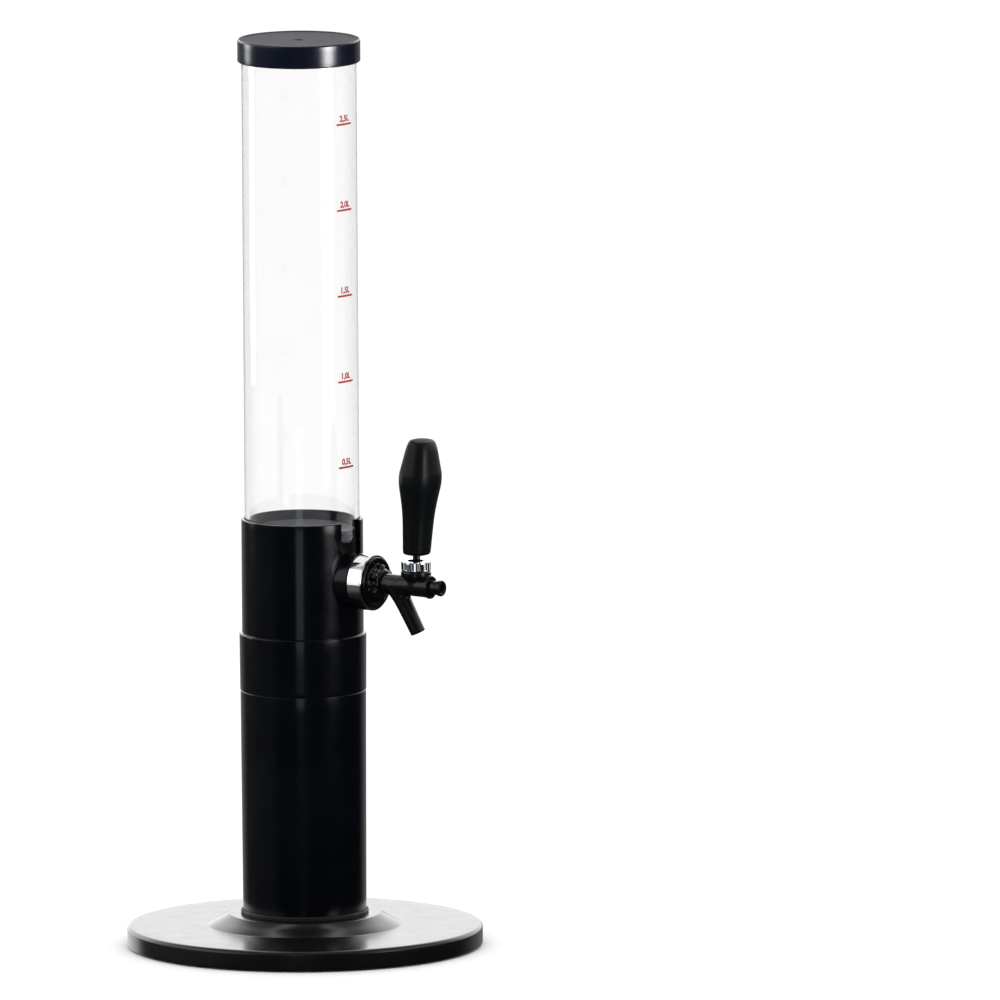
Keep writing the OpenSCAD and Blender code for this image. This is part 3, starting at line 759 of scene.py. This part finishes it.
def notched(r, th, z):
    if z < 15.02 or r < 9.6:
        return r
    a = (math.degrees(th) - 15) % 30
    a = math.radians(a - 30 if a > 15 else a)
    s = 13.9 * math.sin(a)
    if abs(s) >= 1.9:
        edge = 99.0
    else:
        edge = 13.9 * math.cos(a) - math.sqrt(1.9 ** 2 - s ** 2)
    h = max(0.0, min(1.0, 0.5 + 0.5 * (edge - r) / 0.25))
    return edge * (1 - h) + r * h - 0.25 * h * (1 - h)


bonnet_prof = rounded([(9.5, 13.6), (12.3, 13.6, 0.3), (12.9, 14.2, 0.3), (12.9, 15.0), (12.9, 15.05), (12.9, 21.6, 0.5), (12.1, 22.4, 0.4),
                       (9.2, 22.4, 0.4), (6.2, 17.9, 0.3), (5.95, 17.8, 0.1), (9.5, 17.8)])
lift = Matrix.Translation((0, -LEVER, TAP))
piece("bonnet_skin", mesh_of("bonnet_skin", lathe_data(subdivided(bonnet_prof, 1.2), 360, lift, notched), 38),
      chrome, "tank", "chrome", "bonnet")

# -------------------------------------------------------------------- handle

neck = turned(rounded([(0, 0), (2.9, 0), (2.9, 8, 0.8), (3.3, 8.6, 0.5), (3.0, 12.2, 0.6), (3.9, 12.65, 0.2), (3.9, 12.95, 0.15),
                         (2.95, 13.0), (2.95, 26.2), (2.4, 26.8), (0, 26.8)]))


def lever_f(x, y, z):
    dy, dz = y + LEVER, z - (TAP + 15.5)
    up = dz * math.cos(LEAN) - dy * math.sin(LEAN)
    fr = dy * math.cos(LEAN) + dz * math.sin(LEAN)
    f = np.sqrt(x ** 2 + dy ** 2 + dz ** 2) - 5.5
    f = smin(f, neck(np.hypot(x, fr), up), 0.3)
    arm = np.maximum(np.hypot(x, dy) - 1.6, np.maximum(-dz - 16.2, dz))
    f = smin(f, arm, 0.5)
    f = np.minimum(f, np.sqrt(x ** 2 + dy ** 2 + (dz + 16.2) ** 2) - 2.0)
    ears = np.maximum(np.hypot(dy, dz) - 1.25, np.abs(x) - 7.6)
    return np.minimum(f, ears)


piece("lever_skin", mesh_of("lever_skin", nets(lever_f, (-7.8, -123.8, TAP - 3), (7.8, -112.2, TAP + 42.6), 0.3), 50),
      tap_black, "handle", "tap_black", "lever")

GH = [0, 0.9, 3, 10, 20, 30, 38, 46, 54, 60, 65, 70, 76, 82, 88, 93, 97, 99.6, 100.9, 101.4]
GA = [11.9, 12.8, 13.3, 13.7, 14.3, 15.0, 15.9, 17.2, 18.7, 19.9, 20.4, 20.3, 19.1, 17.7, 16.3, 15.0, 13.5, 12.1, 10.8, 9.0]


def pchip(xs, ys, x):
    """Smooth curve through the points that doesn't overshoot them."""
    xs, ys = np.array(xs, float), np.array(ys, float)
    h, d = np.diff(xs), np.diff(ys) / np.diff(xs)
    m = np.zeros(len(xs))
    m[0], m[-1] = d[0], d[-1]
    for i in range(1, len(xs) - 1):
        if d[i - 1] * d[i] > 0:
            w1, w2 = 2 * h[i] + h[i - 1], h[i] + 2 * h[i - 1]
            m[i] = (w1 + w2) / (w1 / d[i - 1] + w2 / d[i])
    i = np.clip(np.searchsorted(xs, x) - 1, 0, len(xs) - 2)
    t = (x - xs[i]) / h[i]
    return ((2 * t ** 3 - 3 * t ** 2 + 1) * ys[i] + (t ** 3 - 2 * t ** 2 + t) * h[i] * m[i]
            + (-2 * t ** 3 + 3 * t ** 2) * ys[i + 1] + (t ** 3 - t ** 2) * h[i] * m[i + 1])


def spow(v, p):
    return math.copysign(abs(v) ** p, v)


SIDES = 96
rings = []
for h in [0, 0.25, 0.55] + list(np.arange(0.9, 3, 0.5)) + list(np.arange(3, 96, 1.25)) + list(np.arange(96, 99.6, 0.6)) + [99.6, 100.1, 100.55, 100.9, 101.2, 101.4]:
    a = float(pchip(GH, GA, h))
    h = h if h < 99 else 99 + (h - 99) * 0.7          # leaves room for the crown
    rings.append([(a * spow(math.cos(t), 0.77), 0.78 * a * spow(math.sin(t), 0.77), h)
                  for t in (2 * math.pi * (k + 0.5) / SIDES for k in range(SIDES))])
rim = rings[-1]
rings += [[(p[0] * f, p[1] * f, p[2] + h) for p in rim] for f, h in ((0.90, 0.16), (0.75, 0.36), (0.50, 0.56), (0.25, 0.68))]
loop = [[(4.65 * math.cos(t), 4.65 * math.sin(t), h) for t in (2 * math.pi * (k + 0.5) / SIDES for k in range(SIDES))]
        for h in (15.5, 8.0, 0.4)]
loop.append([(5.0 * math.cos(t), 5.0 * math.sin(t), 0.0) for t in (2 * math.pi * (k + 0.5) / SIDES for k in range(SIDES))])
rings = loop + rings
gv, gf = [], []
for r in rings:
    gv += r
for i in range(len(rings) - 1):
    for k in range(SIDES):
        a, b = i * SIDES + k, i * SIDES + (k + 1) % SIDES
        gf.append((a, b, b + SIDES, a + SIDES))
gv.append((0, 0, 15.5))
gv.append((0, 0, 101.4))
last = (len(rings) - 1) * SIDES
for k in range(SIDES):
    gf.append((len(gv) - 2, (k + 1) % SIDES, k))
    gf.append((len(gv) - 1, last + k, last + (k + 1) % SIDES))
place = Matrix.Translation((0, -LEVER, TAP + 15.5)) @ Matrix.Rotation(LEAN, 4, "X") @ Matrix.Translation((0, 0, 13))
gv = [tuple(place @ Vector(v)) for v in gv]
piece("handle_grip_skin", mesh_of("handle_grip_skin", (gv, gf), 40), grip_black, "handle", "tap_black", "handle_grip")

# ----------------------------------------- carried over CAD nodes, materials

for name, mat in {
    "base_cover": satin_black, "ballast_plate": cast, "column_socket": satin_black, "tie_rod": steel,
    "tie_nuts": steel, "tie_washers": steel, "tank_cup": satin_black, "drain_sump": satin_black,
    "tube_seal": black_rubber, "shank": chrome, "shank_nut": steel, "shank_washer": black_rubber,
    "port_seal": black_rubber, "rod_seal": black_rubber, "end_seal": black_rubber, "ball_ring": white_plastic,
    "handle_insert": brass, "valve_rod": steel, "valve_seal": black_rubber,
}.items():
    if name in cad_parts:
        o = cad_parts[name]
        o.data.materials.clear()
        o.data.materials.append(mat)

# --------------------------------------------------------------------- stage

AZ, EL, DIST, LENS = math.radians(-57.0), math.radians(8.4), 30.0, 1241.2
back = Vector((math.sin(AZ) * math.cos(EL), -math.cos(AZ) * math.cos(EL), math.sin(EL)))
side = Vector((math.cos(AZ), math.sin(AZ), 0))
aim = side * 0.1723 + Vector((0, 0, 0.3907))
cam = bpy.data.cameras.new("camera")
cam.lens, cam.sensor_width, cam.clip_end = LENS, 36.0, 200.0
cam_o = bpy.data.objects.new("camera", cam)
bpy.context.scene.collection.objects.link(cam_o)
cam_o.rotation_mode = "QUATERNION"
cam_o.location = aim + back * DIST
# the photograph is tilted a third of a degree: its tower leans left at the top
cam_o.rotation_quaternion = (-back).to_track_quat("-Z", "Y") @ Quaternion((0, 0, 1), math.radians(-0.36))
bpy.context.scene.camera = cam_o

fm = bpy.data.meshes.new("floor")
fm.from_pydata([(-90, -90, 0), (90, -90, 0), (90, 90, 0), (-90, 90, 0)], [], [(0, 1, 2, 3)])
floor = bpy.data.objects.new("floor", fm)
bpy.context.scene.collection.objects.link(floor)
k = Mat("floor_paper", Specular_IOR_Level=0.0, Roughness=1.0)
k.color(k.mix(k.rng(k.noise(3, 3), 0.3, 0.7, 0, 1), (0.90, 0.90, 0.90), (0.91, 0.91, 0.91)))
floor.data.materials.append(k.m)
floor.visible_glossy = False

world = bpy.data.worlds.new("studio")
bpy.context.scene.world = world
world.use_nodes = True
wt = world.node_tree
bg = next(x for x in wt.nodes if x.type == "BACKGROUND")


class W(Mat):
    def __init__(self):
        self.t = wt
        self.co = wt.nodes.new("ShaderNodeTexCoord").outputs["Generated"]

    def dot(self, v):
        n = self.t.nodes.new("ShaderNodeVectorMath")
        n.operation = "DOT_PRODUCT"
        self.link(self.co, n.inputs[0])
        n.inputs[1].default_value = v
        return n.outputs["Value"]

    def window(self, x, a, b, c, d):
        """0 below a, 1 from b to c, 0 above d."""
        return self.math("MULTIPLY", self.rng(x, a, b, 0, 1, "SMOOTHSTEP"), self.rng(x, c, d, 1, 0, "SMOOTHSTEP"))


w = W()
c_h = Vector((math.sin(AZ), -math.cos(AZ), 0))      # towards the main view's side of the studio
up, far, right = w.dot((0, 0, 1)), w.dot(tuple(-c_h)), w.dot(tuple(side))


def add(*xs):
    t = xs[0]
    for x in xs[1:]:
        t = w.math("ADD", t, x)
    return t


def mul(*xs):
    t = xs[0]
    for x in xs[1:]:
        t = w.math("MULTIPLY", t, x)
    return t


# what glossy surfaces see: a bright wall at the far side, darker near side, soft light from above
wall = mul(w.rng(far, 0.30, 0.78, 0, 1, "SMOOTHSTEP"), w.window(up, -0.04, 0.07, 0.40, 0.75), 2.3)
wall_low = mul(w.rng(far, 0.50, 0.95, 0, 1, "SMOOTHSTEP"), w.window(up, -0.6, -0.25, -0.04, 0.07), 0.30)
top = mul(w.rng(up, 0.25, 0.8, 0, 1, "SMOOTHSTEP"), 0.35)
left_high = mul(w.rng(right, -0.85, -0.45, 1, 0, "SMOOTHSTEP"), w.window(up, -0.05, 0.14, 0.55, 0.85), 1.3)
left_low = mul(w.rng(right, -0.90, -0.70, 1, 0, "SMOOTHSTEP"), w.window(up, -0.75, -0.35, -0.05, 0.14), 0.09)
right_high = mul(w.rng(right, 0.45, 0.9, 0, 1, "SMOOTHSTEP"), w.window(up, 0.05, 0.2, 0.6, 0.85), 0.8)
near = mul(w.rng(far, -0.998, -0.95, 1, 0, "SMOOTHSTEP"), w.window(up, -0.4, -0.2, -0.1, 0.05), 0.05)
gloss = add(wall, wall_low, top, left_high, left_low, right_high, near, 0.012)
lp = wt.nodes.new("ShaderNodeLightPath")
plain = 1.17
mirror_ray = mul(lp.outputs["Is Glossy Ray"], w.math("SUBTRACT", 1.0, lp.outputs["Is Transmission Ray"]))
level = add(mul(mirror_ray, gloss), mul(w.math("SUBTRACT", 1.0, mirror_ray), plain))
wt.links.new(level, bg.inputs["Strength"])
bg.inputs["Color"].default_value = (1.0, 1.0, 1.0, 1.0)


def softbox(name, az, dist, z, w_, h_, power, tint=(1, 1, 1), aim_z=None, diffuse=True, only=(), spread=180.0):
    a = AZ + math.radians(az)
    lt = bpy.data.lights.new(name, "AREA")
    lt.shape, lt.size, lt.size_y, lt.energy, lt.color = "RECTANGLE", w_, h_, power, tint
    o = bpy.data.objects.new(name, lt)
    bpy.context.scene.collection.objects.link(o)
    o.location = (dist * math.sin(a), -dist * math.cos(a), z)
    d = Vector((0, 0, z if aim_z is None else aim_z)) - o.location
    o.rotation_mode = "QUATERNION"
    o.rotation_quaternion = d.to_track_quat("-Z", "Y")
    lt.spread = math.radians(spread)
    o.visible_camera = o.visible_transmission = False
    o.visible_diffuse = diffuse
    if only:
        lit = bpy.data.collections.new(name + "_lights")
        for x in only:
            lit.objects.link(bpy.data.objects[x])
        o.light_linking.receiver_collection = lit
    return o


softbox("box_right", 58, 1.6, 0.70, 0.96, 0.96, 3.1, diffuse=False, spread=33, only=("lid_skin", "tank_tube_skin"))
softbox("box_right_soft", 56, 1.6, 0.66, 0.96, 0.96, 1.0, diffuse=False, spread=33)
softbox("box_left", -112, 1.6, 0.62, 0.70, 0.70, 0.45, diffuse=False, spread=25)
softbox("strip_near", -5, 1.5, 0.14, 0.34, 0.22, 0.30, (0.72, 0.85, 1.0))
softbox("overhead", 180, 0.6, 2.2, 1.2, 1.2, 8.0, aim_z=0.3)
softbox("base_rim_card", -152, 1.5, -0.20, 1.1, 0.60, 2.6, aim_z=0.0, diffuse=False, only=("base_shell_skin",))
softbox("base_mid_card", 180, 1.2, 1.10, 2.0, 0.60, 4.0, aim_z=0.03, diffuse=False, only=("base_shell_skin",))
softbox("base_top_card", 180, 1.0, 2.2, 1.2, 1.2, 5.0, aim_z=0.03, diffuse=False, only=("base_shell_skin",))
softbox("chrome_card", -66, 1.5, 0.85, 1.3, 1.6, 6.0, aim_z=0.33, diffuse=False, only=("escutcheon_skin", "bonnet_skin"))
softbox("chrome_card_right", 84, 1.3, 0.16, 0.7, 0.5, 1.2, aim_z=0.34, diffuse=False, only=("bonnet_skin",))

scene = bpy.context.scene
scene.view_settings.view_transform = "Standard"
scene.view_settings.look = "None"
scene.view_settings.exposure = 0.0
scene.view_settings.gamma = 1.0
